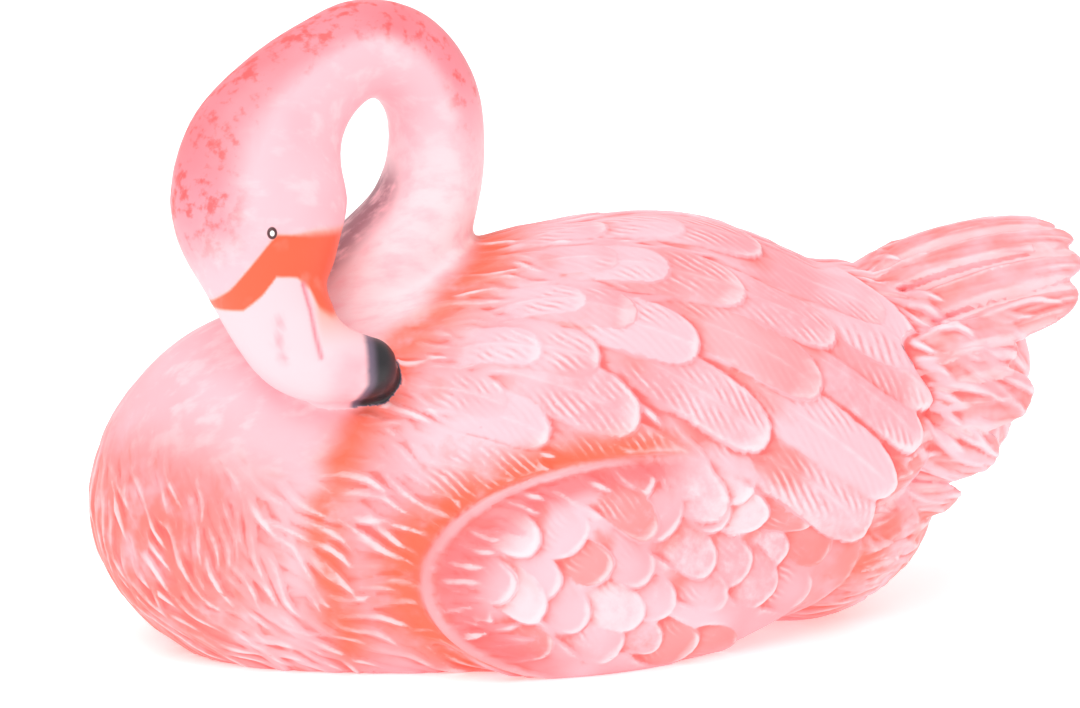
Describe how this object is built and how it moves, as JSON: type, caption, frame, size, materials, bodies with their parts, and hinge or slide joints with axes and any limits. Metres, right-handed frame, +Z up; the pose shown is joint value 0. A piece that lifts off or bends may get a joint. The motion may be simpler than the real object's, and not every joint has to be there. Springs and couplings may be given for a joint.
{
  "type": "flamingo garden statue",
  "caption": "Cast garden statue of a resting flamingo with its neck looped over and its bill laid on its breast.",
  "frame": {"origin": "middle of the flat underside, on the ground", "axes": "+Z up; the bird faces -X and its tail points to +X; its left side, which the picture shows, is -Y"},
  "size_m": [0.3509, 0.1638, 0.2249],
  "materials": {
    "painted_resin": "satin"
  },
  "bodies": {
    "root": {"flamingo": "painted_resin"}
  },
  "joints": []
}
